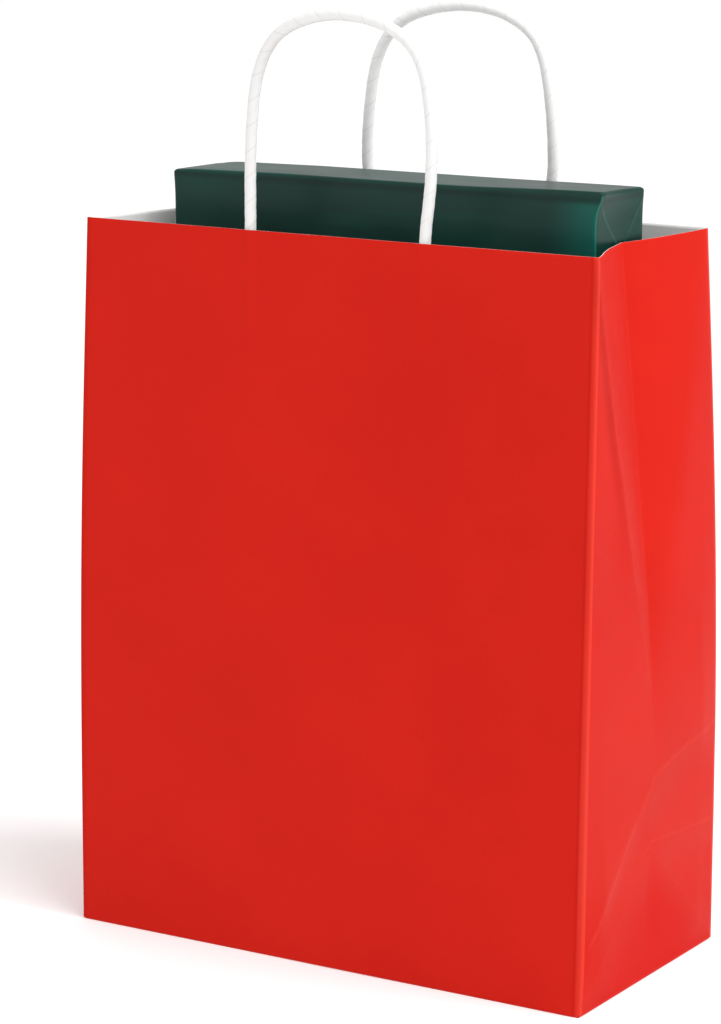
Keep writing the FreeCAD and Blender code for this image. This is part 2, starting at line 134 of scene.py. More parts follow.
def make_stage():
    """A white floor under a white sky: a soft key light from the right, one from above, a weak front fill.

    The floor glows a little away from the bag, where the lights fall off.
    """
    scene = bpy.context.scene
    scene.view_settings.view_transform = "Standard"
    scene.view_settings.look = "None"
    world = bpy.data.worlds.new("studio")
    world.use_nodes = True
    world.node_tree.nodes["Background"].inputs["Color"].default_value = (1, 1, 1, 1)
    world.node_tree.nodes["Background"].inputs["Strength"].default_value = SKY_STRENGTH
    scene.world = world
    for name, lamp in LAMPS.items():
        soft_box(name, *lamp)

    data = bpy.data.meshes.new("floor")
    corners = [(x * FLOOR_REACH, y * FLOOR_REACH, 0) for x, y in ((-1, -1), (1, -1), (1, 1), (-1, 1))]
    data.from_pydata(corners, [], [(0, 1, 2, 3)])
    floor = bpy.data.objects.new("floor", data)
    scene.collection.objects.link(floor)
    material = bpy.data.materials.new("lit_floor_white")
    material.use_nodes = True
    shader = material.node_tree.nodes["Principled BSDF"]
    shader.inputs["Base Color"].default_value = (FLOOR_WHITE, FLOOR_WHITE, FLOOR_WHITE, 1)
    shader.inputs["Roughness"].default_value = 0.9
    shader.inputs["Specular IOR Level"].default_value = 0.1
    shader.inputs["Emission Color"].default_value = (1, 1, 1, 1)
    tree = material.node_tree
    place = tree.nodes.new("ShaderNodeTexCoord").outputs["Object"]
    from_bag = tree.nodes.new("ShaderNodeVectorMath")
    from_bag.operation = "LENGTH"
    tree.links.new(place, from_bag.inputs[0])
    glow = tree.nodes.new("ShaderNodeMapRange")
    for number, target in zip((GLOW_FROM, GLOW_TO, GLOW_NEAR, GLOW_FAR), list(glow.inputs)[1:5]):
        target.default_value = number
    tree.links.new(from_bag.outputs["Value"], glow.inputs[0])
    tree.links.new(glow.outputs[0], shader.inputs["Emission Strength"])
    data.materials.append(material)


# ------------------------------------------------------------------ node helpers for the materials
# Colours are linear red, green and blue; ranges and shares run from 0 to 1.
class Finish:
    """A node material: short names for the nodes that the finishes below are made of."""

    def __init__(self, name, roughness, specular=0.5):
        self.material = bpy.data.materials.new(name)
        self.material.use_nodes = True
        self.tree = self.material.node_tree
        self.shader = self.tree.nodes["Principled BSDF"]
        self.shader.inputs["Roughness"].default_value = roughness
        self.shader.inputs["Specular IOR Level"].default_value = specular
        self.place = self.tree.nodes.new("ShaderNodeTexCoord").outputs["Object"]

    def join(self, source, target):
        """Links a socket to a socket, or sets a plain value."""
        if hasattr(source, "links"):
            self.tree.links.new(source, target)
        else:
            target.default_value = source

    def math(self, operation, first, second=0.0, third=0.0):
        """One Math node of up to three sockets or plain values."""
        node = self.tree.nodes.new("ShaderNodeMath")
        node.operation = operation
        for value, target in zip((first, second, third), node.inputs):
            self.join(value, target)
        return node.outputs[0]

    def noise(self, scale, detail=2.0, rough=0.5, place=None, squeeze=None):
        """Fractal noise, 0 to 1; scale counts cells per metre."""
        vector = place or self.place
        if squeeze:
            mapping = self.tree.nodes.new("ShaderNodeMapping")
            mapping.inputs["Scale"].default_value = squeeze
            self.join(vector, mapping.inputs["Vector"])
            vector = mapping.outputs[0]
        node = self.tree.nodes.new("ShaderNodeTexNoise")
        node.inputs["Scale"].default_value = scale
        node.inputs["Detail"].default_value = detail
        node.inputs["Roughness"].default_value = rough
        self.join(vector, node.inputs["Vector"])
        return node.outputs["Fac"]

    def spread(self, value, low_in, high_in, low_out, high_out, smooth=False):
        """Carries a value from one range to another, clamped."""
        node = self.tree.nodes.new("ShaderNodeMapRange")
        if smooth:
            node.interpolation_type = "SMOOTHSTEP"
        self.join(value, node.inputs[0])
        for number, target in zip((low_in, high_in, low_out, high_out), list(node.inputs)[1:5]):
            target.default_value = number
        return node.outputs[0]

    def mix(self, share, first, second):
        """Mixes two colours by a share."""
        node = self.tree.nodes.new("ShaderNodeMix")
        node.data_type = "RGBA"
        self.join(share, node.inputs[0])
        for value, target in ((first, node.inputs[6]), (second, node.inputs[7])):
            self.join((*value, 1.0) if isinstance(value, tuple) else value, target)
        return node.outputs[2]

    def uv(self, name):
        """One of the piece's own UV maps: the vector and its two coordinates."""
        node = self.tree.nodes.new("ShaderNodeUVMap")
        node.uv_map = name
        split = self.tree.nodes.new("ShaderNodeSeparateXYZ")
        self.join(node.outputs[0], split.inputs[0])
        return node.outputs[0], split.outputs[0], split.outputs[1]

    def line(self, across, up, start, end, width):
        """1 on the segment from start to end in a UV map, falling to 0 at width from it."""
        run = (end[0] - start[0], end[1] - start[1])
        size = run[0] ** 2 + run[1] ** 2
        from_x = self.math("SUBTRACT", across, start[0])
        from_y = self.math("SUBTRACT", up, start[1])
        by_x = self.math("MULTIPLY", from_x, run[0] / size)
        along = self.math("MULTIPLY_ADD", from_y, run[1] / size, by_x)
        along = self.math("MINIMUM", self.math("MAXIMUM", along, 0.0), 1.0)
        off_x = self.math("MULTIPLY_ADD", along, -run[0], from_x)
        off_y = self.math("MULTIPLY_ADD", along, -run[1], from_y)
        square = self.math("MULTIPLY_ADD", off_x, off_x, self.math("MULTIPLY", off_y, off_y))
        return self.spread(self.math("SQRT", square), 0.0, width, 1.0, 0.0, smooth=True)

    def bump(self, height, distance, strength=1.0, under=None):
        """Adds relief of a real height, in metres, and returns its normal."""
        node = self.tree.nodes.new("ShaderNodeBump")
        node.inputs["Strength"].default_value = strength
        node.inputs["Distance"].default_value = distance
        self.join(height, node.inputs["Height"])
        if under is not None:
            self.join(under, node.inputs["Normal"])
        return node.outputs[0]

    def finish(self, colour, roughness=None, normal=None):
        """Wires the colour, roughness and normal to the shader and returns the material."""
        self.join((*colour, 1.0) if isinstance(colour, tuple) else colour, self.shader.inputs["Base Color"])
        if roughness is not None:
            self.join(roughness, self.shader.inputs["Roughness"])
        if normal is not None:
            self.join(normal, self.shader.inputs["Normal"])
        return self.material


# ------------------------------------------------------------------ finishes
# A line that has no end on the sheet runs from below the floor to above the mouth.
BELOW_FLOOR, ABOVE_MOUTH = -0.1, 0.5
# Tints of the red face: the sheet's two and its fibres, then painted light and shade: painted shade on the
# gusset's low triangle, a painted sheen above it, painted shade beside the tuck's crease and beside the
# corner crease, and a painted highlight on the corner and on the pressed folds, with some wear there.
RED_PLAIN, RED_CLOUD, RED_FIBRE = (0.545, 0.0128, 0.0068), (0.590, 0.0150, 0.0082), (0.66, 0.028, 0.017)
RED_PAINTED_SHADE_TRIANGLE, RED_PAINTED_SHEEN = (0.57, 0.0045, 0.0010), (0.62, 0.085, 0.065)
RED_PAINTED_SHADE_BY_TUCK, RED_PAINTED_SHADE_BY_CORNER = (0.36, 0.0065, 0.0035), (0.40, 0.007, 0.0035)
RED_WORN_AND_HIGHLIGHT, RED_PRESSED_AND_HIGHLIGHT = (0.80, 0.072, 0.046), (0.80, 0.095, 0.065)
# Tints of the satin wrap: its two greens, then a painted sheen in its streaks, painted light on the front
# beside the right end, painted shade under the top edge, and a painted highlight on the pressed front right
# edge and on its folds.
GREEN_DEEP, GREEN_FRESH, GREEN_PAINTED_SHEEN_STREAK = (0.0050, 0.024, 0.0185), (0.0030, 0.040, 0.029), (0.003, 0.074, 0.055)
GREEN_PAINTED_LIGHT_BY_END, GREEN_PAINTED_SHADE_UNDER_TOP = (0.0003, 0.110, 0.082), (0.0003, 0.014, 0.010)
GREEN_PRESSED_EDGE_AND_HIGHLIGHT, GREEN_FOLD_AND_HIGHLIGHT = (0.02, 0.24, 0.19), (0.012, 0.13, 0.10)


def red_coated_paper(name, on_sheet):
    """Smooth dyed-red face of the sheet: faint mottling and paper tooth, lines along the skin's folds with a
    painted highlight, and painted shade and sheen on the gussets and beside the corner creases.

    On the folded skin the UV map "fold" holds the way round the sheet from the nearest centre crease
    of a gusset, and "gusset" holds Y on a gusset. The second number of both is the height.
    """
    f = Finish(name, 0.46, 0.034)
    sheet = f.uv("sheet")[0] if on_sheet else f.place
    mottle = f.noise(14.0, 3.0, 0.55, sheet)
    fibre = f.noise(900.0, 3.0, 0.6, sheet, squeeze=(1.0, 0.35, 1.0))
    tooth = f.noise(2600.0, 2.0, 0.5, sheet)
    colour = f.mix(f.spread(mottle, 0.3, 0.7, 0.0, 1.0), RED_PLAIN, RED_CLOUD)
    colour = f.mix(f.spread(fibre, 0.35, 0.75, 0.0, 0.10), colour, RED_FIBRE)
    normal = f.bump(tooth, 0.012 * MM, 0.5)
    normal = f.bump(fibre, 0.02 * MM, 0.35, normal)
    if on_sheet:
        _, off_crease, up = f.uv("fold")
        _, across, level = f.uv("gusset")

        def beside_corner(step, width):
            """An upright line, step outside a corner crease, that runs past the sheet at both ends."""
            past_corner = HALF_DEPTH + step
            return f.line(off_crease, up, (past_corner, BELOW_FLOOR), (past_corner, ABOVE_MOUTH), width)

        def fold(places, width, strength):
            """A line mask through places on a gusset, given as Y and Z in millimetres: for the pressed folds,
            and for the band of painted shade beside the tuck.
            """
            marks = [
                f.line(across, level, (start[0] * MM, start[1] * MM), (end[0] * MM, end[1] * MM), width * MM)
                for start, end in zip(places, places[1:])
            ]
            line = marks[0]
            for mark in marks[1:]:
                line = f.math("MAXIMUM", line, mark)
            return f.math("MULTIPLY", line, strength)

        # A lighter line on the corner crease: some wear of the paper, and a painted highlight.
        worn_and_highlight = beside_corner(-1.2 * MM, 1.9 * MM)
        # A band of painted shade just outside the corner crease.
        shade = beside_corner(1.6 * MM, 2.2 * MM)
        fading = f.spread(level, 165 * MM, 260 * MM, 0.0, 1.0, smooth=True)
        tuck_line = fold([(-62.0, 320.0), (0.0, 130.0)], 0.9, 0.6)
        # A wide band of painted shade beside the tuck's crease, fading out higher up.
        beside = f.math("MULTIPLY", fold([(-66.0, 318.5), (-4.0, 128.5)], 6.5, 1.0), fading)
        # A painted sheen on the lower gusset, a lighter and hazier red between its low folds.
        painted_sheen = f.spread(level, 25 * MM, 60 * MM, 0.0, 1.0, smooth=True)
        painted_sheen = f.math("MULTIPLY", painted_sheen, f.spread(level, 90 * MM, 170 * MM, 1.0, 0.0, smooth=True))
        on_gusset = f.math("LESS_THAN", f.math("ABSOLUTE", across), 1.0)
        painted_sheen = f.math("MULTIPLY", painted_sheen, on_gusset)
        # Painted shade on the gusset's bottom triangle: a deeper red with less green and blue.
        triangle = f.math("MULTIPLY_ADD", f.math("ABSOLUTE", across), 0.9, level)
        triangle = f.spread(triangle, 38 * MM, 60 * MM, 1.0, 0.0, smooth=True)
        curve = [(62.0, 102.0), (30.0, 97.5), (2.0, 91.0), (-25.0, 66.0), (-56.0, 29.0)]
        curved = fold(curve, 2.2, 0.8)
        level_fold = fold([(62.0, 57.0), (-2.0, 62.0)], 1.4, 0.6)
        base_folds = fold([(62.0, 1.0), (-4.0, 61.0), (-62.0, 1.0)], 1.2, 0.35)
        lines = tuck_line
        for each in (curved, level_fold, base_folds):
            lines = f.math("MAXIMUM", lines, each)
        rubbed = f.spread(f.noise(160.0, 3.0, 0.6, sheet), 0.35, 0.7, 0.35, 1.0)
        colour = f.mix(f.math("MULTIPLY", triangle, 0.7), colour, RED_PAINTED_SHADE_TRIANGLE)
        colour = f.mix(f.math("MULTIPLY", painted_sheen, 0.10), colour, RED_PAINTED_SHEEN)
        colour = f.mix(f.math("MULTIPLY", beside, 0.42), colour, RED_PAINTED_SHADE_BY_TUCK)
        colour = f.mix(f.math("MULTIPLY", shade, 0.35), colour, RED_PAINTED_SHADE_BY_CORNER)
        colour = f.mix(f.math("MULTIPLY", worn_and_highlight, 0.52), colour, RED_WORN_AND_HIGHLIGHT)
        # The pressed folds are drawn lighter as a painted highlight, unevenly along their length.
        pressed_and_highlight = f.math("MULTIPLY", f.math("MULTIPLY", lines, rubbed), 0.20)
        colour = f.mix(pressed_and_highlight, colour, RED_PRESSED_AND_HIGHLIGHT)
        normal = f.bump(lines, 0.12 * MM, 0.4, normal)
    rough = f.spread(f.noise(55.0, 3.0, 0.5, sheet), 0.3, 0.7, 0.39, 0.48)
    return f.finish(colour, rough, normal)


def white_paper(name, tint, fine=1200.0):
    """Uncoated white paper: soft fibres and a slightly uneven white."""
    f = Finish(name, 0.8, 0.2)
    cloud = f.noise(30.0, 3.0, 0.5)
    fibre = f.noise(fine, 3.0, 0.65, squeeze=(1.0, 1.0, 0.45))
    darker = tuple(c * 0.94 for c in tint)
    colour = f.mix(f.spread(cloud, 0.3, 0.7, 0.0, 1.0), tint, darker)
    colour = f.mix(f.spread(fibre, 0.5, 0.8, 0.0, 0.25), colour, tuple(c * 0.86 for c in tint))
    return f.finish(colour, f.spread(fibre, 0.3, 0.7, 0.72, 0.86), f.bump(fibre, 0.03 * MM, 0.6))


def twisted_paper():
    """White kraft cord: fibres that follow the twist, and a painted shade of grey in the groove."""
    f = Finish("white_twisted_paper", 0.62, 0.3)
    place, _, groove = f.uv("twist")
    fibre = f.noise(1.0, 3.0, 0.6, place, squeeze=(160.0, 26.0, 1.0))
    colour = f.mix(f.spread(fibre, 0.35, 0.75, 0.0, 1.0), (0.81, 0.805, 0.795), (0.74, 0.735, 0.72))
    # Painted shade: the cord turns grey in its groove.
    seam = f.math("ABSOLUTE", f.math("SUBTRACT", f.math("FRACT", groove), 0.5))
    colour = f.mix(f.spread(seam, 0.44, 0.5, 0.0, 0.35), colour, (0.56, 0.555, 0.545))
    return f.finish(colour, f.spread(fibre, 0.3, 0.7, 0.55, 0.7), f.bump(fibre, 0.05 * MM, 0.5))


def satin_wrap():
    """Dark green satin wrapping paper: soft streaks of gloss with a painted sheen, fine grain, painted light
    beside the right end, painted shade under the top edge, and a painted highlight on the front right edge
    and on its folds.

    The UV map "fold" holds Y from the middle of an end and the depth below the top. "edge" holds
    the way round the front right edge and that depth, counted from 2 mm higher.
    """
    f = Finish("green_satin_wrap", 0.34, 0.20)
    _, across, down = f.uv("fold")
    _, round_edge, below = f.uv("edge")
    cloud = f.noise(9.0, 2.0, 0.5)
    streak = f.noise(38.0, 3.0, 0.6, squeeze=(0.30, 1.0, 2.4))
    grain = f.noise(2400.0, 2.0, 0.5)
    colour = f.mix(f.spread(cloud, 0.40, 0.60, 0.0, 1.0), GREEN_DEEP, GREEN_FRESH)
    # A painted sheen in lighter green streaks; the same streaks also vary the roughness and the relief.
    colour = f.mix(f.spread(streak, 0.48, 0.78, 0.0, 0.55), colour, GREEN_PAINTED_SHEEN_STREAK)
    # Painted light on the front face near the right end, where the rounded face would turn to the light.
    painted_light_by_end = f.math("MULTIPLY", f.spread(round_edge, -0.030, -0.004, 0.0, 1.0, smooth=True),
                    f.math("LESS_THAN", round_edge, 0.0))
    painted_light_by_end = f.math("MULTIPLY", painted_light_by_end, f.spread(below, 1.5 * MM, 4.0 * MM, 0.0, 1.0, smooth=True))
    colour = f.mix(f.math("MULTIPLY", painted_light_by_end, 0.75), colour, GREEN_PAINTED_LIGHT_BY_END)
    # A band of painted shade just under the top edge.
    under = 2.6 * MM
    painted_shade_under_top = f.math("MULTIPLY", f.line(across, below, (-0.5, under), (2.0, under), under),
                       f.math("LESS_THAN", round_edge, 0.05))
    colour = f.mix(f.math("MULTIPLY", painted_shade_under_top, 0.60), colour, GREEN_PAINTED_SHADE_UNDER_TOP)
    # A lighter line on the pressed front right edge: a crease in the paper, drawn lighter as a painted
    # highlight.
    pressed = f.line(round_edge, below, (0.3 * MM, 1.0 * MM), (0.3 * MM, 0.5), 1.5 * MM)
    colour = f.mix(f.math("MULTIPLY", pressed, 0.70), colour, GREEN_PRESSED_EDGE_AND_HIGHLIGHT)
    # On each end two folds run down from the top corners to a meeting point, and one edge goes on down.
    meeting = (2 * MM, 24 * MM)
    flap = f.line(across, down, (-17 * MM, 0.0), meeting, 1.5 * MM)
    edge = f.line(across, down, meeting, (2 * MM, 0.40), 0.9 * MM)
    far_flap = f.line(across, down, (17 * MM, 0.0), meeting, 1.5 * MM)
    folds = f.math("MAXIMUM", f.math("MAXIMUM", flap, f.math("MULTIPLY", far_flap, 0.5)), edge)
    where = f.tree.nodes.new("ShaderNodeSeparateXYZ")
    f.join(f.place, where.inputs[0])
    off_seam = f.math("ABSOLUTE", f.math("SUBTRACT", where.outputs[2], (WRAP_LOW.z + WRAP_HIGH.z) / 2))
    on_back = f.math("GREATER_THAN", where.outputs[1], WRAP_HIGH.y - 1.0 * MM)
    seam = f.math("MULTIPLY", f.spread(off_seam, 0.0, 0.7 * MM, 1.0, 0.0), on_back)
    folds = f.math("MAXIMUM", folds, seam)
    # The folds and the back seam are pressed into the relief, and drawn lighter as a painted highlight.
    colour = f.mix(f.math("MULTIPLY", folds, 0.22), colour, GREEN_FOLD_AND_HIGHLIGHT)
    normal = f.bump(grain, 0.01 * MM, 0.4)
    normal = f.bump(streak, 0.25 * MM, 0.25, normal)
    normal = f.bump(folds, 0.30 * MM, 0.6, normal)
    return f.finish(colour, f.spread(streak, 0.3, 0.7, 0.29, 0.39), normal)


def card(name, tint, speck):
    """Recycled board: grey-brown pulp with darker flecks."""
    f = Finish(name, 0.85, 0.2)
    pulp = f.noise(420.0, 4.0, 0.6)
    fleck = f.noise(1500.0, 1.0, 0.4)
    colour = f.mix(f.spread(pulp, 0.3, 0.7, 0.0, 1.0), tint, tuple(c * 0.88 for c in tint))
    colour = f.mix(f.spread(fleck, 0.68, 0.74, 0.0, 0.5), colour, speck)
    return f.finish(colour, None, f.bump(pulp, 0.05 * MM, 0.6))


def clear_tape():
    """Frosted adhesive film: nearly clear, smooth, with faint streaks from the roll."""
    f = Finish("frosted_tape", 0.3, 0.5)
    streak = f.noise(300.0, 2.0, 0.5, squeeze=(1.0, 1.0, 0.05))
    f.shader.inputs["Alpha"].default_value = 0.20
    colour = f.mix(f.spread(streak, 0.3, 0.7, 0.0, 1.0), (0.56, 0.62, 0.58), (0.46, 0.53, 0.49))
    return f.finish(colour, f.spread(streak, 0.3, 0.7, 0.25, 0.4), f.bump(streak, 0.01 * MM, 0.5))


# ------------------------------------------------------------------ mesh helpers
def grid_piece(name, points, materials, closed_round=False, uvs=None):
    """A mesh from a grid of points, columns by rows. The faces look along (next column) x (next row).

    uvs holds one grid per UV map; a closed grid's UV grids have one column more, for the seam.
    """
    columns, rows = points.shape[:2]
    spans = columns if closed_round else columns - 1
    i, j = np.meshgrid(np.arange(spans), np.arange(rows - 1), indexing="ij")
    after = (i + 1) % columns
    here, there = i * rows + j, after * rows + j
    faces = np.stack([here, there, there + 1, here + 1], -1).reshape(-1, 4)
    mesh = bpy.data.meshes.new(name)
    mesh.from_pydata(points.reshape(-1, 3).tolist(), [], faces.tolist())
    for map_name, values in (uvs or {}).items():
        layer = mesh.uv_layers.new(name=map_name)
        corners = np.stack([values[i, j], values[i + 1, j], values[i + 1, j + 1], values[i, j + 1]], 2)
        layer.data.foreach_set("uv", corners.reshape(-1, 2).astype(np.float32).ravel())
    mesh.polygons.foreach_set("use_smooth", np.ones(len(mesh.polygons), bool))
    for material in materials:
        mesh.materials.append(material)
    piece = bpy.data.objects.new(name, mesh)
    bpy.context.scene.collection.objects.link(piece)
    return piece


def thicken(piece, thickness, offset=-1.0, inner=0, rim=0):
    """Gives a skin its paper thickness; inner and rim count material slots up from the outer face's."""
    solid = piece.modifiers.new("paper", "SOLIDIFY")
    solid.thickness = thickness
    solid.offset = offset
    solid.material_offset = inner
    solid.material_offset_rim = rim
    return piece


def stations(length, coarse, fine_spots):
    """Places along a length, coarse apart, closing up round each (place, step, reach) of fine_spots."""
    places = [0.0]
    while places[-1] < length:
        here = places[-1]
        step = coarse
        for spot, fine, reach in fine_spots:
            near = math.exp(-(((here - spot) / reach) ** 2))
            step = min(step, coarse - (coarse - fine) * near)
        places.append(here + step)
    return np.array(places[:-1]) * length / places[-2]


def soft_ramp(x, softness):
    """0 below zero and x above it, with a rounded corner."""
    return softness * np.logaddexp(0.0, x / softness)


def window(x, low, high, edge):
    """1 between low and high, with smooth edges."""
    return 1 / (1 + np.exp(-(x - low) / edge)) / (1 + np.exp((x - high) / edge))


def ridge(distance, below, above):
    """A rounded fold line: 1 on the line, falling off at its own rate on each side."""
    reach = np.where(distance < 0, below, above)
    return 1 / np.cosh(distance / reach)


# ------------------------------------------------------------------ the folded paper skin
BASE_ROUND = 0.9 * MM
# Corner creases are rounded this far to each side, in this many passes.
CORNER_REACH, CORNER_PASSES = 2.2 * MM, 4
# The handle patches: across, up the panel, and below the mouth.
PATCH_WIDTH, PATCH_HEIGHT, PATCH_DROP = 140 * MM, 52 * MM, 4 * MM
# A window's lower limit where it has none.
NO_LIMIT = -1.0
# What the fold patterns read where there is no gusset: a place far off all of them.
NOWHERE = 9.0


def corner_edge(sign_x, sign_y, up, bow_x, bow_y, top_pull=0.0, foot=0.0):
    """One corner crease from floor to mouth: it leans in with its panel and bows out a little.

    X = half width + bow x sin(pi u)^1.2 + foot x (1 - u^2) - top_pull x u^2, with u the share of the height.
    """
    lean = LEAN["front" if sign_y < 0 else "rear"]
    bow = np.sin(np.pi * up) ** 1.2
    x = sign_x * (HALF_WIDTH + bow_x * bow + foot * (1 - up**2) - top_pull * up**2)
    y = sign_y * (HALF_DEPTH - lean * up + bow_y * bow)
    return np.stack([x, y, MOUTH_Z * up], -1)


def lower_gusset_relief(y, z, strength):
    """Outward relief of an opened gusset low down, in metres.

    A curved fold runs from the rear crease down to the front base corner, a short level fold
    crosses the rear half at half the base's depth, and the triangle under them bellies out.
    """
    back = (HALF_DEPTH - y) / MM
    curve = (102 - 0.0013 * back**2 - 0.000034 * back**3) * MM
    across = (y / HALF_DEPTH + 1) / 2
    held = np.clip(np.minimum(across, 1 - across) * 7, 0, 1)
    main = 1.9 * MM * ridge(z - curve, 9 * MM, 42 * MM)
    level_at = 62 * MM - 5 * MM * (2 * across - 1)
    level = 1.0 * MM * ridge(z - level_at, 6 * MM, 8 * MM) * window(across, 0.5, 1.2, 0.03)
    apex = HALF_DEPTH * (1 - np.abs(2 * across - 0.95))
    belly = 1.5 * MM * ridge(z - 0.9 * apex, 20 * MM, 16 * MM) * window(z, 4 * MM, 0.5, 3 * MM)
    return strength * (main + level + belly) * held * window(z, 6 * MM, 1.0, 4 * MM)


def half_gusset(side, toward_rear, corner, share, up):
    """Half of a gusset between its corner crease (share 0) and its centre crease (share 1).

    Above the tuck's start the half folds inwards along the line from the mouth corner to the tuck's
    start. That line is a sharp ridge in the front half, with the paper hollow beside it, and a soft
    roll in the rear half.
    """
    height = MOUTH_Z * up
    rise = (height - TUCK_START) / (MOUTH_Z - TUCK_START)
    softness = 0.014 + (0.13 * (1 - share) * share**0.3 if toward_rear else 0.0)
    softness = softness + 0.10 * np.exp(-((np.clip(rise, -1, 1) / 0.28) ** 2))
    tuck = TUCK * (soft_ramp(share + rise - 1, softness) - (1 - share) * soft_ramp(rise - 1, softness))
    high = np.clip(rise, 0, 1) ** 2
    hollow = 0.0
    if toward_rear:
        tuck = tuck - 1.6 * MM * np.sin(np.pi * (1 - share) ** 0.7) * high
    else:
        tuck = tuck + 1.2 * MM * np.sin(np.pi * share) ** 2 * high
        line_share = np.clip(1 - rise, 0.04, 1.0)
        toward = np.clip(share / line_share, 0, 1)
        hollow = 1.3 * MM * line_share**0.5 * toward * (1 - toward**5)
        hollow = hollow * np.clip((height - 60 * MM) / (110 * MM), 0, 1) ** 1.5
    crease_y = -3.0 * MM * high
    y = corner[..., 1] + (crease_y - corner[..., 1]) * share
    relief = lower_gusset_relief(y, height, 1.0 if side > 0 else 0.7)
    flat = side * corner[..., 0] + (HALF_WIDTH - side * corner[..., 0]) * share
    x = side * (flat - tuck - hollow + relief)
    drop = 0.5 * MM * share * high
    return np.stack([x, y, height - drop], -1)


def flat_panel(start, end, share, up, side):
    """Front or back panel between two corner creases, crowned a little, raised over the glued cord ends."""
    facing = -1 if side == "front" else 1
    points = start + (end - start) * share[..., None]
    x = points[..., 0]
    arch = np.sin(np.pi * share)
    crown = (1.1 if facing < 0 else 2.6) * MM * arch * np.sin(np.pi * up**0.8)
    lip = (0.3 if facing < 0 else 1.4) * MM * arch * up**8
    slack = 0.22 * MM * np.sin(9 * share + 5.0 * up) * np.sin(7 * up - 4 * share + 1.0) * arch
    below_mouth = MOUTH_Z * (1 - up)
    glued = window(below_mouth, NO_LIMIT, GLUED, 2 * MM)
    left, right = LEGS[side]
    from_leg = np.minimum(np.abs(x - left), np.abs(x - right))
    legs = np.exp(-((from_leg / (2.6 * MM)) ** 2)) * glued
    from_middle = np.abs(x - (left + right) / 2)
    patch = window(from_middle, NO_LIMIT, PATCH_WIDTH / 2, 1.2 * MM)
    patch = patch * window(below_mouth, PATCH_DROP, PATCH_DROP + PATCH_HEIGHT, 1.2 * MM)
    points[..., 1] += facing * (crown + lip + slack + 0.42 * MM * legs + 0.10 * MM * patch)
    return points


def corner_edges(up):
    """The four corner creases: front left, front right, rear right, rear left."""
    return (
        corner_edge(-1, -1, up, 1.3 * MM, 1.0 * MM, foot=1.5 * MM),
        corner_edge(1, -1, up, 0.0, 0.0),
        corner_edge(1, 1, up, 1.7 * MM, 1.6 * MM, 2.6 * MM),
        corner_edge(-1, 1, up, 1.2 * MM, 1.2 * MM, 2.0 * MM),
    )


def make_seam_flap():
    """The sheet's glue flap: a strip of the back panel's own surface, one paper thickness further in."""
    low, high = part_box("side_seam_flap")
    columns, rows = 12, 90
    to_corner, glue = 2.4 * MM, 0.06 * MM
    up = np.linspace(low.z, high.z, rows) / MOUTH_Z
    _, _, rear_right, rear_left = corner_edges(up)
    width = 2 * HALF_WIDTH
    share = np.linspace(1 - (HALF_WIDTH + high.x) / width, 1 - to_corner / width, columns)
    share = np.broadcast_to(share[:, None], (columns, rows))
    grid = flat_panel(rear_right, rear_left, share, up, "rear")
    grid[..., 1] -= PAPER + glue
    flap = grid_piece("glued_seam_flap", grid[::-1], [white_inside])
    thicken(flap, PAPER, offset=1.0)
    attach(flap, "bag")
    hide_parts("side_seam_flap")


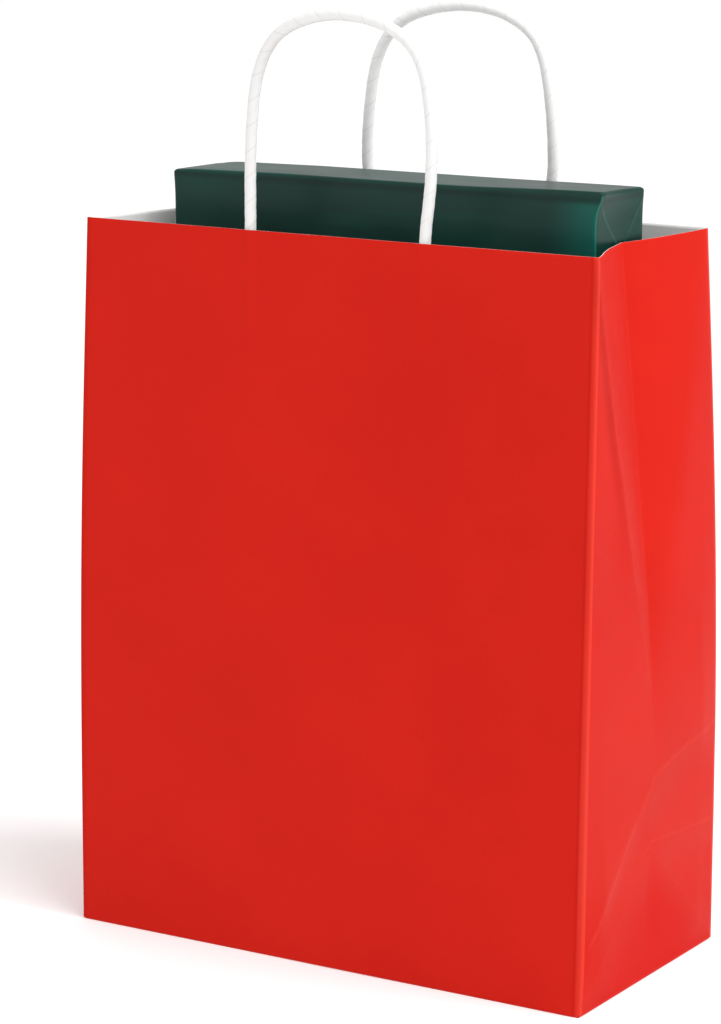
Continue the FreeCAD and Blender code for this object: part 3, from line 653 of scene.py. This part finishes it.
def folded_sheet():
    """The whole sheet as one skin: six panels side by side, columns round the bag and rows up it.

    Each panel is laid between its creases as its own function says; then the corners are rounded
    and the foot is turned in.
    """
    rows = stations(
        MOUTH_Z,
        2.9 * MM,
        [(0.0, 0.3 * MM, 1.2 * MM), (MOUTH_Z, 0.8 * MM, 3 * MM), (60 * MM, 2.0 * MM, 45 * MM)],
    )
    up = rows / MOUTH_Z
    crease = (0.0, 0.35 * MM, 1.6 * MM)
    width, depth = 2 * HALF_WIDTH, HALF_DEPTH

    def across(length, spots):
        """Shares of the way across a panel, closer together at its creases and at the given spots."""
        return stations(length, 4.2 * MM, [crease, (length, 0.35 * MM, 1.6 * MM), *spots])[:-1] / length

    wide, wide_back = (
        across(width, [(HALF_WIDTH + sign * leg, 1.1 * MM, 7 * MM) for leg in LEGS[side]])
        for side, sign in (("front", 1), ("rear", -1))
    )
    half = stations(depth, 2.6 * MM, [crease, (depth, 0.5 * MM, 2 * MM)])[:-1] / depth

    front_left, front_right, rear_right, rear_left = corner_edges(up)

    def fan(share):
        """The same shares for every row."""
        return np.broadcast_to(share[:, None], (len(share), len(up)))

    to_crease = fan(half)
    from_crease = fan(1 - half)
    high, high_back = fan(wide), fan(wide_back)
    panels = [
        flat_panel(front_left, front_right, high, up, "front"),
        half_gusset(1, False, front_right, to_crease, up),
        half_gusset(1, True, rear_right, from_crease, up),
        flat_panel(rear_right, rear_left, high_back, up, "rear"),
        half_gusset(-1, True, rear_left, to_crease, up),
        half_gusset(-1, False, front_left, from_crease, up),
    ]
    points = np.concatenate(panels)

    # Round the corner creases: a few passes of averaging over the closely spaced columns there.
    spans = [width, depth, depth, width, depth, depth]
    shares = [wide, half, half, wide_back, half, half]
    starts = np.cumsum([0.0, *spans])
    round_it = np.concatenate([start + share * span for start, share, span in zip(starts, shares, spans)])
    near = np.min([np.abs(round_it - place) for place in starts], axis=0) < CORNER_REACH
    for _ in range(CORNER_PASSES):
        averaged = (np.roll(points, 1, 0) + 2 * points + np.roll(points, -1, 0)) / 4
        points[near] = averaged[near]

    # Turn the foot in under the bag, as a fold of its own radius.
    middle = points.mean(0, keepdims=True)
    inset = BASE_ROUND * (1 - np.sqrt(1 - np.clip(1 - rows / BASE_ROUND, 0, 1) ** 2))
    outward = points[..., :2] - middle[..., :2]
    scale = 1 - inset[None, :, None] / np.array([HALF_WIDTH, HALF_DEPTH])
    points[..., :2] = middle[..., :2] + outward * scale

    # UV maps: the way round the sheet, the distance from a gusset's centre crease, and Y on a gusset.
    round_sheet = np.broadcast_to(round_it[:, None], points.shape[:2])
    toward, away = depth * (1 - to_crease), depth * (1 - from_crease)
    off_front, off_back = (depth + width * np.minimum(each, 1 - each) for each in (high, high_back))
    off_crease = np.concatenate([off_front, toward, away, off_back, toward, away])
    no_front, no_back = (np.full(each.shape, NOWHERE) for each in (high, high_back))
    on_gusset = np.concatenate([no_front, -toward, away, no_back, toward, -away])
    seams = {"sheet": np.full((1, len(rows)), starts[-1]), "fold": off_crease[:1], "gusset": on_gusset[:1]}
    maps = {"sheet": round_sheet, "fold": off_crease, "gusset": on_gusset}
    tall = np.broadcast_to(rows, (len(points) + 1, len(rows)))
    uvs = {name: np.stack([np.concatenate([grid, seams[name]]), tall], -1) for name, grid in maps.items()}
    skin = grid_piece("folded_paper_bag", points, [red, white_inside, cut_edge], True, uvs)
    thicken(skin, PAPER, inner=1, rim=2)
    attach(skin, "bag")
    gussets = [
        f"{side}_gusset_{end}_{level}"
        for side in ("left", "right")
        for end in ("front", "rear")
        for level in ("lower", "upper")
    ]
    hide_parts("front_panel", "back_panel", *gussets)


# ------------------------------------------------------------------ handles
# Each handle's route above its bend line, from the left leg to the right one: X and the height up the
# loop's plane, in millimetres from the handle's own middle. The front one is the CAD model's, rounded
# to 0.01 mm. The rear one has two points of its own near each foot, so its legs leave the mouth upright.
ROUTES = {
    "front": [
        (-43.5, 0.0),
        (-43.5, 20.32),
        (-42.67, 39.19),
        (-39.89, 64.02),
        (-29.97, 81.45),
        (-10.66, 89.31),
        (7.13, 90.57),
        (26.4, 86.78),
        (42.02, 75.49),
        (46.98, 49.48),
        (46.89, 23.48),
        (43.5, 0.0),
    ],
    "rear": [
        (-43.5, 0.0),
        (-46.7, 9.0),
        (-47.9, 20.0),
        (-46.98, 38.38),
        (-43.63, 63.03),
        (-32.71, 79.37),
        (-13.7, 86.24),
        (6.52, 88.04),
        (26.14, 83.98),
        (40.98, 73.23),
        (46.37, 47.5),
        (48.3, 21.0),
        (46.9, 9.0),
        (43.5, 0.0),
    ],
}

# The loops' lean out from upright, in degrees.
LOOP_LEAN = {"front": 0.0, "rear": 1.4}
# The bend line is about this far above the mouth, and the cord bends over this length round it.
HINGE_OVER_MOUTH, BEND_LENGTH = 2.7 * MM, 9.0 * MM


def smooth_line(route, name):
    """Even points along a NURBS curve of order 3 that takes the route as its control points."""
    data = bpy.data.curves.new(name, "CURVE")
    data.dimensions = "3D"
    data.resolution_u = 24
    spline = data.splines.new("NURBS")
    spline.points.add(len(route) - 1)
    spline.points.foreach_set("co", np.c_[np.array(route), np.ones(len(route))].ravel())
    spline.order_u = 3
    spline.use_endpoint_u = True
    holder = bpy.data.objects.new(name, data)
    bpy.context.scene.collection.objects.link(holder)
    line = bpy.data.meshes.new_from_object(holder)
    points = np.array([v.co for v in line.vertices])
    bpy.data.objects.remove(holder)
    return points


def even_points(points, step):
    """The same line, with points a fixed step apart."""
    run = np.r_[0, np.cumsum(np.linalg.norm(np.diff(points, axis=0), axis=1))]
    count = int(round(run[-1] / step)) + 1
    places = np.linspace(0, run[-1], count)
    return np.stack([np.interp(places, run, points[:, k]) for k in range(3)], -1), places


def twisted_cord(name, line, plane_normal):
    """A round cord whose single helical groove turns once per pitch as it runs along the line.

    Radius = cord radius less a narrow groove, at the angle that follows the twist, plus a slight
    unevenness. The UV map "twist" holds the way along in centimetres and the strand's number.
    """
    pitch, depth, groove_angle = 11.0 * MM, 0.20 * MM, 0.34
    sides, step = 36, 0.9 * MM
    points, places = even_points(line, step)
    along = np.gradient(points, axis=0)
    along /= np.linalg.norm(along, axis=1, keepdims=True)
    side = np.broadcast_to(np.array(plane_normal, float), along.shape)
    side = side - along * np.sum(side * along, axis=1, keepdims=True)
    side /= np.linalg.norm(side, axis=1, keepdims=True)
    other = np.cross(along, side)
    turn = np.linspace(0, 2 * np.pi, sides, endpoint=False)
    phase = turn[:, None] - 2 * np.pi * places[None, :] / pitch
    groove = np.exp(-((np.angle(np.exp(1j * phase)) / groove_angle) ** 2))
    lump = 0.03 * MM * np.sin(3 * phase + 1.3)
    lump = lump + 0.02 * MM * np.sin(places[None, :] / (7 * MM) + turn[:, None])
    radius = CORD / 2 - depth * groove + lump
    ring = side[None] * np.cos(turn)[:, None, None] + other[None] * np.sin(turn)[:, None, None]
    grid = points[None] + ring * radius[..., None]
    # Close both cut ends on the centreline.
    first, last = (np.broadcast_to(end, (sides, 1, 3)) for end in (points[:1], points[-1:]))
    grid = np.concatenate([first, grid, last], 1)
    run = np.r_[places[0], places, places[-1]]
    wrap = np.linspace(0, 1, sides + 1)
    strand = wrap[:, None] - run[None, :] / pitch
    uv = np.stack([np.broadcast_to(run[None], strand.shape) * 100, strand + 0.5], -1)
    return grid_piece(name, grid[::-1], [cord_paper], True, {"twist": uv[::-1]})


def make_handle(side, facing):
    """One cord from glued end to glued end: up inside the panel, out at the mouth, round and back down."""
    body = f"{side}_handle"
    hinge = HINGE[body]
    left, right = LEGS[side]
    middle = hinge + Vector(((left + right) / 2, 0, 0))
    panel_lean = math.asin(LEAN[side] / MOUTH_Z)
    loop_lean = math.radians(LOOP_LEAN[side])
    down_panel = Vector((0, facing * math.sin(panel_lean), -math.cos(panel_lean)))
    up_loop = Vector((0, facing * math.sin(loop_lean), math.cos(loop_lean)))
    loop = [middle + Vector((x * MM, 0, 0)) + up_loop * z * MM for x, z in ROUTES[side]]
    foot = down_panel * (GLUED + HINGE_OVER_MOUTH)
    glued = [foot, foot * 0.45]
    route = [loop[0] + p for p in glued] + loop + [loop[-1] + p for p in reversed(glued)]
    line = smooth_line([tuple(p) for p in route], f"{side}_route")
    cord = twisted_cord(f"{side}_handle_cord", line, (0, 1, 0))
    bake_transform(cord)
    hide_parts(f"{side}_handle_loop", f"{side}_cord_ends")


def make_inner_patch(side, facing):
    """The paper strip glued over both cord ends: flat on the panel, tented over each cord.

    Height over the panel = cord diameter x exp(-(distance from the cord / 3.3 mm)^4), plus a faint cockle.
    """
    name = f"{side}_patch_inner"
    low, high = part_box(name)
    lean = math.asin(LEAN[side] / MOUTH_Z)
    thickness, clearance, tent_half = 0.22 * MM, 0.12 * MM, 3.3 * MM
    by_legs = [leg + np.linspace(-6, 6, 33) * MM for leg in LEGS[side]]
    across = np.unique(np.concatenate([np.linspace(low.x, high.x, 60), *by_legs]))
    up = np.linspace(0, PATCH_HEIGHT, 30)
    x, w = np.meshgrid(across, up, indexing="ij")
    from_leg = np.minimum(np.abs(x - LEGS[side][0]), np.abs(x - LEGS[side][1]))
    tent = CORD * np.exp(-((from_leg / tent_half) ** 4))
    cockle = 0.12 * MM * (1 + np.sin(x * 260 + w * 90)) * (1 - np.exp(-((from_leg / (5 * MM)) ** 2)))
    inward = 2 * PAPER + clearance + tent + cockle * np.sin(np.pi * w / w.max())
    foot = MOUTH_Z / math.cos(lean) - PATCH_DROP - PATCH_HEIGHT
    y = facing * (HALF_DEPTH - (foot + w) * math.sin(lean) - inward * math.cos(lean))
    z = (foot + w) * math.cos(lean) - inward * math.sin(lean)
    grid = np.stack([x, y, z], -1)
    patch = grid_piece(f"{side}_glued_patch", grid if facing > 0 else grid[::-1], [patch_white])
    thicken(patch, thickness, offset=1.0)
    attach(patch, "bag")
    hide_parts(name)


# ------------------------------------------------------------------ the wrapped present
WRAP_LOW, WRAP_HIGH = (v.copy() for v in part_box("gift_wrap"))


def wrap_end(side, y, z):
    """X of the wrap's left or right end: slanted and pulled in near the mouth, square further down."""
    below = (WRAP_HIGH.z - z) / MM
    near_top = 1 / (1 + np.exp((below - 42) / 6))
    back = (y - WRAP_LOW.y) / (WRAP_HIGH.y - WRAP_LOW.y)
    flare = np.exp(-((np.clip(below, 0, 99) / 6.5) ** 2))
    if side < 0:
        return WRAP_LOW.x + MM * (-0.4 + near_top * (0.25 * back - 0.5 * flare))
    slant = 4.4 * back - 0.9 * np.sin(np.pi * back) + flare * (3.6 - 3.0 * back)
    return WRAP_HIGH.x + MM * (0.3 + near_top * slant)


def wrap_face(side, x, z):
    """Y of the wrap's front or back face: slightly slack between the edges."""
    along = np.clip((x - WRAP_LOW.x) / (WRAP_HIGH.x - WRAP_LOW.x), 0, 1)
    up = np.clip((z - WRAP_LOW.z) / (WRAP_HIGH.z - WRAP_LOW.z), 0, 1)
    held = np.sin(np.pi * along) ** 0.5 * np.sin(np.pi * up) ** 0.5
    slack = 0.14 * MM * held * (np.sin(x * 61 + z * 13) * np.sin(z * 47 - x * 17 + 0.7) + 1)
    middle, half = (WRAP_LOW.y + WRAP_HIGH.y) / 2, (WRAP_HIGH.y - WRAP_LOW.y) / 2
    return middle + side * (half + 0.3 * MM + slack)


def wrap_top(x, y):
    """Z of the wrap's top: it rises a little to the front right corner and sags at the left end."""
    back = np.clip((y - WRAP_LOW.y) / (WRAP_HIGH.y - WRAP_LOW.y), 0, 1)
    to_right = np.clip((x / MM - 35) / 75, 0, 1)
    to_left = np.clip((-x / MM - 45) / 45, 0, 1)
    end_drop = np.exp(-(((x - WRAP_LOW.x) / (7 * MM)) ** 2)) * (0.6 + 0.7 * back)
    corner = to_right**2 * (3 - 2 * to_right) * 1.5 * (1 - 0.8 * back)
    crown = 0.5 * np.sin(np.pi * back) * np.cos(np.pi * x / 0.23) ** 2
    return WRAP_HIGH.z + MM * (2.0 + corner + crown - 0.6 * to_left - end_drop)


def make_present():
    """Wrapping paper round the flat box, as an outline in plan carried up from the foot to the top.

    The outline is a rectangle with soft corners. Each level scales it to the two ends and the two
    faces there. The long edges at the foot and the top are quarter rounds, and both are closed by
    rings that shrink to a line.
    """
    radius = 1.5 * MM
    round_steps, end_steps, face_steps = 6, 17, 110
    lower_levels, upper_levels, upper_from = 60, 55, 0.75
    arc = np.linspace(0, np.pi / 2, round_steps)
    runs = []
    # Each run holds (x share, y share, x inset, y inset): shares are -1 or 1 at an end or a face.
    corners = [(1, -1), (1, 1), (-1, 1), (-1, -1)]
    for quarter, (end_side, face_side) in enumerate(corners):
        along_end = quarter % 2 == 0
        turn = arc[::-1] if along_end else arc
        shares = np.broadcast_to((float(end_side), float(face_side)), (round_steps, 2))
        corner = np.c_[shares, 1 - np.cos(turn), 1 - np.sin(turn)]
        runs.append(corner)
        count = end_steps if along_end else face_steps
        steps = np.linspace(0, 1, count + 2)[1:-1, None]
        start = corner[-1]
        end = np.array([*corners[(quarter + 1) % 4], *((0.0, 1.0) if along_end else (1.0, 0.0))])
        runs.append(start + (end - start) * steps)
    share_x, share_y, inset_x, inset_y = np.concatenate(runs).T

    low_y, high_y = WRAP_LOW.y, WRAP_HIGH.y
    middle_y, half_y = (low_y + high_y) / 2, (high_y - low_y) / 2
    span_z = WRAP_HIGH.z - WRAP_LOW.z
    levels = np.concatenate([
        1 - np.cos(arc[:-1]),
        np.linspace(radius, upper_from * span_z, lower_levels) / radius,
        np.linspace(upper_from * span_z, span_z - radius, upper_levels + 1)[1:] / radius,
        (span_z / radius - (1 - np.cos(arc[:-1])))[::-1],
    ])
    quarter_round = 1 - np.sin(arc[:-1])
    pulled = np.concatenate([quarter_round, np.zeros(lower_levels + upper_levels), quarter_round[::-1]])

    def level(height, pull, shrink=0.0):
        """One ring: the outline at a height, pulled in by a share of the radius and shrunk to its middle."""
        z = np.full(share_x.shape, height)
        near_y = middle_y + share_y * half_y
        left, right = wrap_end(-1, near_y, z), wrap_end(1, near_y, z)
        x = (left + right) / 2 + share_x * (right - left) / 2 - share_x * radius * inset_x
        front, back = wrap_face(-1, x, z), wrap_face(1, x, z)
        y = (front + back) / 2 + share_y * (back - front) / 2 - share_y * radius * inset_y
        centre_x, reach_x = (left + right) / 2, (right - left) / 2
        centre_y, reach_y = (front + back) / 2, (back - front) / 2
        draw = radius * pull
        x = centre_x + (x - centre_x) * (1 - draw / reach_x)
        y = centre_y + (y - centre_y) * (1 - draw / reach_y)
        along = np.abs(x - centre_x)
        limit = reach_x - reach_y
        shrunk = np.sign(x - centre_x) * (limit + (along - limit) * (1 - shrink)) + centre_x
        x = np.where(along > limit, shrunk, x)
        y = centre_y + (y - centre_y) * (1 - shrink)
        return x, y

    rings = []
    shrinks = (1.0, 0.8, 0.55, 0.3, 0.12, 0.03)
    for share in shrinks:
        x, y = level(WRAP_LOW.z, 1.0, share)
        rings.append(np.stack([x, y, np.full(x.shape, WRAP_LOW.z)], -1))
    for height, pull in zip(levels, pulled):
        z = WRAP_LOW.z + height * radius
        x, y = level(z, pull)
        share = np.clip((z - WRAP_LOW.z) / span_z, 0, 1)
        lift = (wrap_top(x, y) - WRAP_HIGH.z) * np.clip((share - 0.8) / 0.2, 0, 1) ** 2
        rings.append(np.stack([x, y, z + lift], -1))
    for share in reversed(shrinks):
        x, y = level(WRAP_HIGH.z, 1.0, share)
        rings.append(np.stack([x, y, wrap_top(x, y)], -1))
    grid = np.stack(rings, 1)
    # UV maps: 1 stands for a place that is off the pattern.
    on_end = (np.abs(share_x) == 1) & (inset_y > 0.9)
    off_pattern = 1.0
    fold_x = np.where(on_end[:, None], grid[..., 1] - middle_y, off_pattern)
    fold_y = WRAP_HIGH.z - grid[..., 2]
    # How far round the front right edge a place is: below zero on the front face, above it on the right end.
    along_front = grid[..., 0] - grid[..., 0].max(0)
    along_end = grid[..., 1] - grid[..., 1].min(0)
    on_right = (share_x > 0) & (inset_y > inset_x)
    elsewhere = np.where((share_y < 0)[:, None], along_front, off_pattern)
    round_edge = np.where(on_right[:, None], along_end, elsewhere)
    maps = {"fold": np.stack([fold_x, fold_y], -1), "edge": np.stack([round_edge, fold_y + 2 * MM], -1)}
    maps = {name: np.concatenate([uv, uv[:1]]) for name, uv in maps.items()}
    wrap = grid_piece("present_wrap", grid, [green], True, maps)
    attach(wrap, "present")
    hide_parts("gift_wrap")


def make_tape():
    """Strips of tape laid on the wrap: three across its back seam and one on each folded end.

    Each strip is a flat patch whose height over the box follows the wrap's own face or end, just proud of it.
    """
    low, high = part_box("wrap_tape")
    middle = Vector(((low.x + high.x) / 2, (WRAP_LOW.y + WRAP_HIGH.y) / 2, (low.z + high.z) / 2))
    across, up = np.meshgrid(np.linspace(-1, 1, 9), np.linspace(-1, 1, 19), indexing="ij")
    z = middle.z + up * (high.z - low.z) / 2
    half_width, apart, proud = 9.5 * MM, 70 * MM, 0.06 * MM
    strips = {}
    for number, step in enumerate((-1, 0, 1), 1):
        x = middle.x + step * apart + across * half_width
        strips[f"seam_tape_{number}"] = np.stack([x, wrap_face(1, x, z) + proud, z], -1)[::-1]
    for word, end in (("left", -1), ("right", 1)):
        y = middle.y + across * half_width
        grid = np.stack([wrap_end(end, y, z) + end * proud, y, z], -1)
        strips[f"{word}_end_tape"] = grid if end > 0 else grid[::-1]
    for name, grid in strips.items():
        strip = grid_piece(name, grid, [tape_film])
        thicken(strip, 0.1 * MM, offset=1.0)
        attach(strip, "present")
        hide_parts("wrap_tape")


# ------------------------------------------------------------------ build
make_camera()
make_stage()
red = red_coated_paper("red_coated_paper", True)
red_flap = red_coated_paper("red_flap_paper", False)
white_inside = white_paper("white_inside_paper", (0.94, 0.925, 0.91))
cut_edge = white_paper("cut_paper_edge", (0.86, 0.70, 0.68), 3000.0)
patch_white = white_paper("patch_paper", (0.84, 0.83, 0.81))
cord_paper = twisted_paper()
green = satin_wrap()
grey_card = card("grey_board", (0.47, 0.455, 0.42), (0.22, 0.20, 0.17))
box_card = card("white_lined_board", (0.74, 0.73, 0.70), (0.5, 0.48, 0.44))
tape_film = clear_tape()

folded_sheet()
make_seam_flap()
for side, facing in (("front", -1), ("rear", 1)):
    make_handle(side, facing)
    make_inner_patch(side, facing)
make_present()
make_tape()

CAD_FINISHES = {
    "base_flap_front": red_flap,
    "base_flap_rear": red_flap,
    "base_flap_left": red_flap,
    "base_flap_right": red_flap,
    "base_board": grey_card,
    "front_patch_outer": patch_white,
    "rear_patch_outer": patch_white,
    "gift_box_lid": box_card,
    "gift_box_tray": box_card,
}
for name, material in CAD_FINISHES.items():
    nodes[name].data.materials.clear()
    nodes[name].data.materials.append(material)
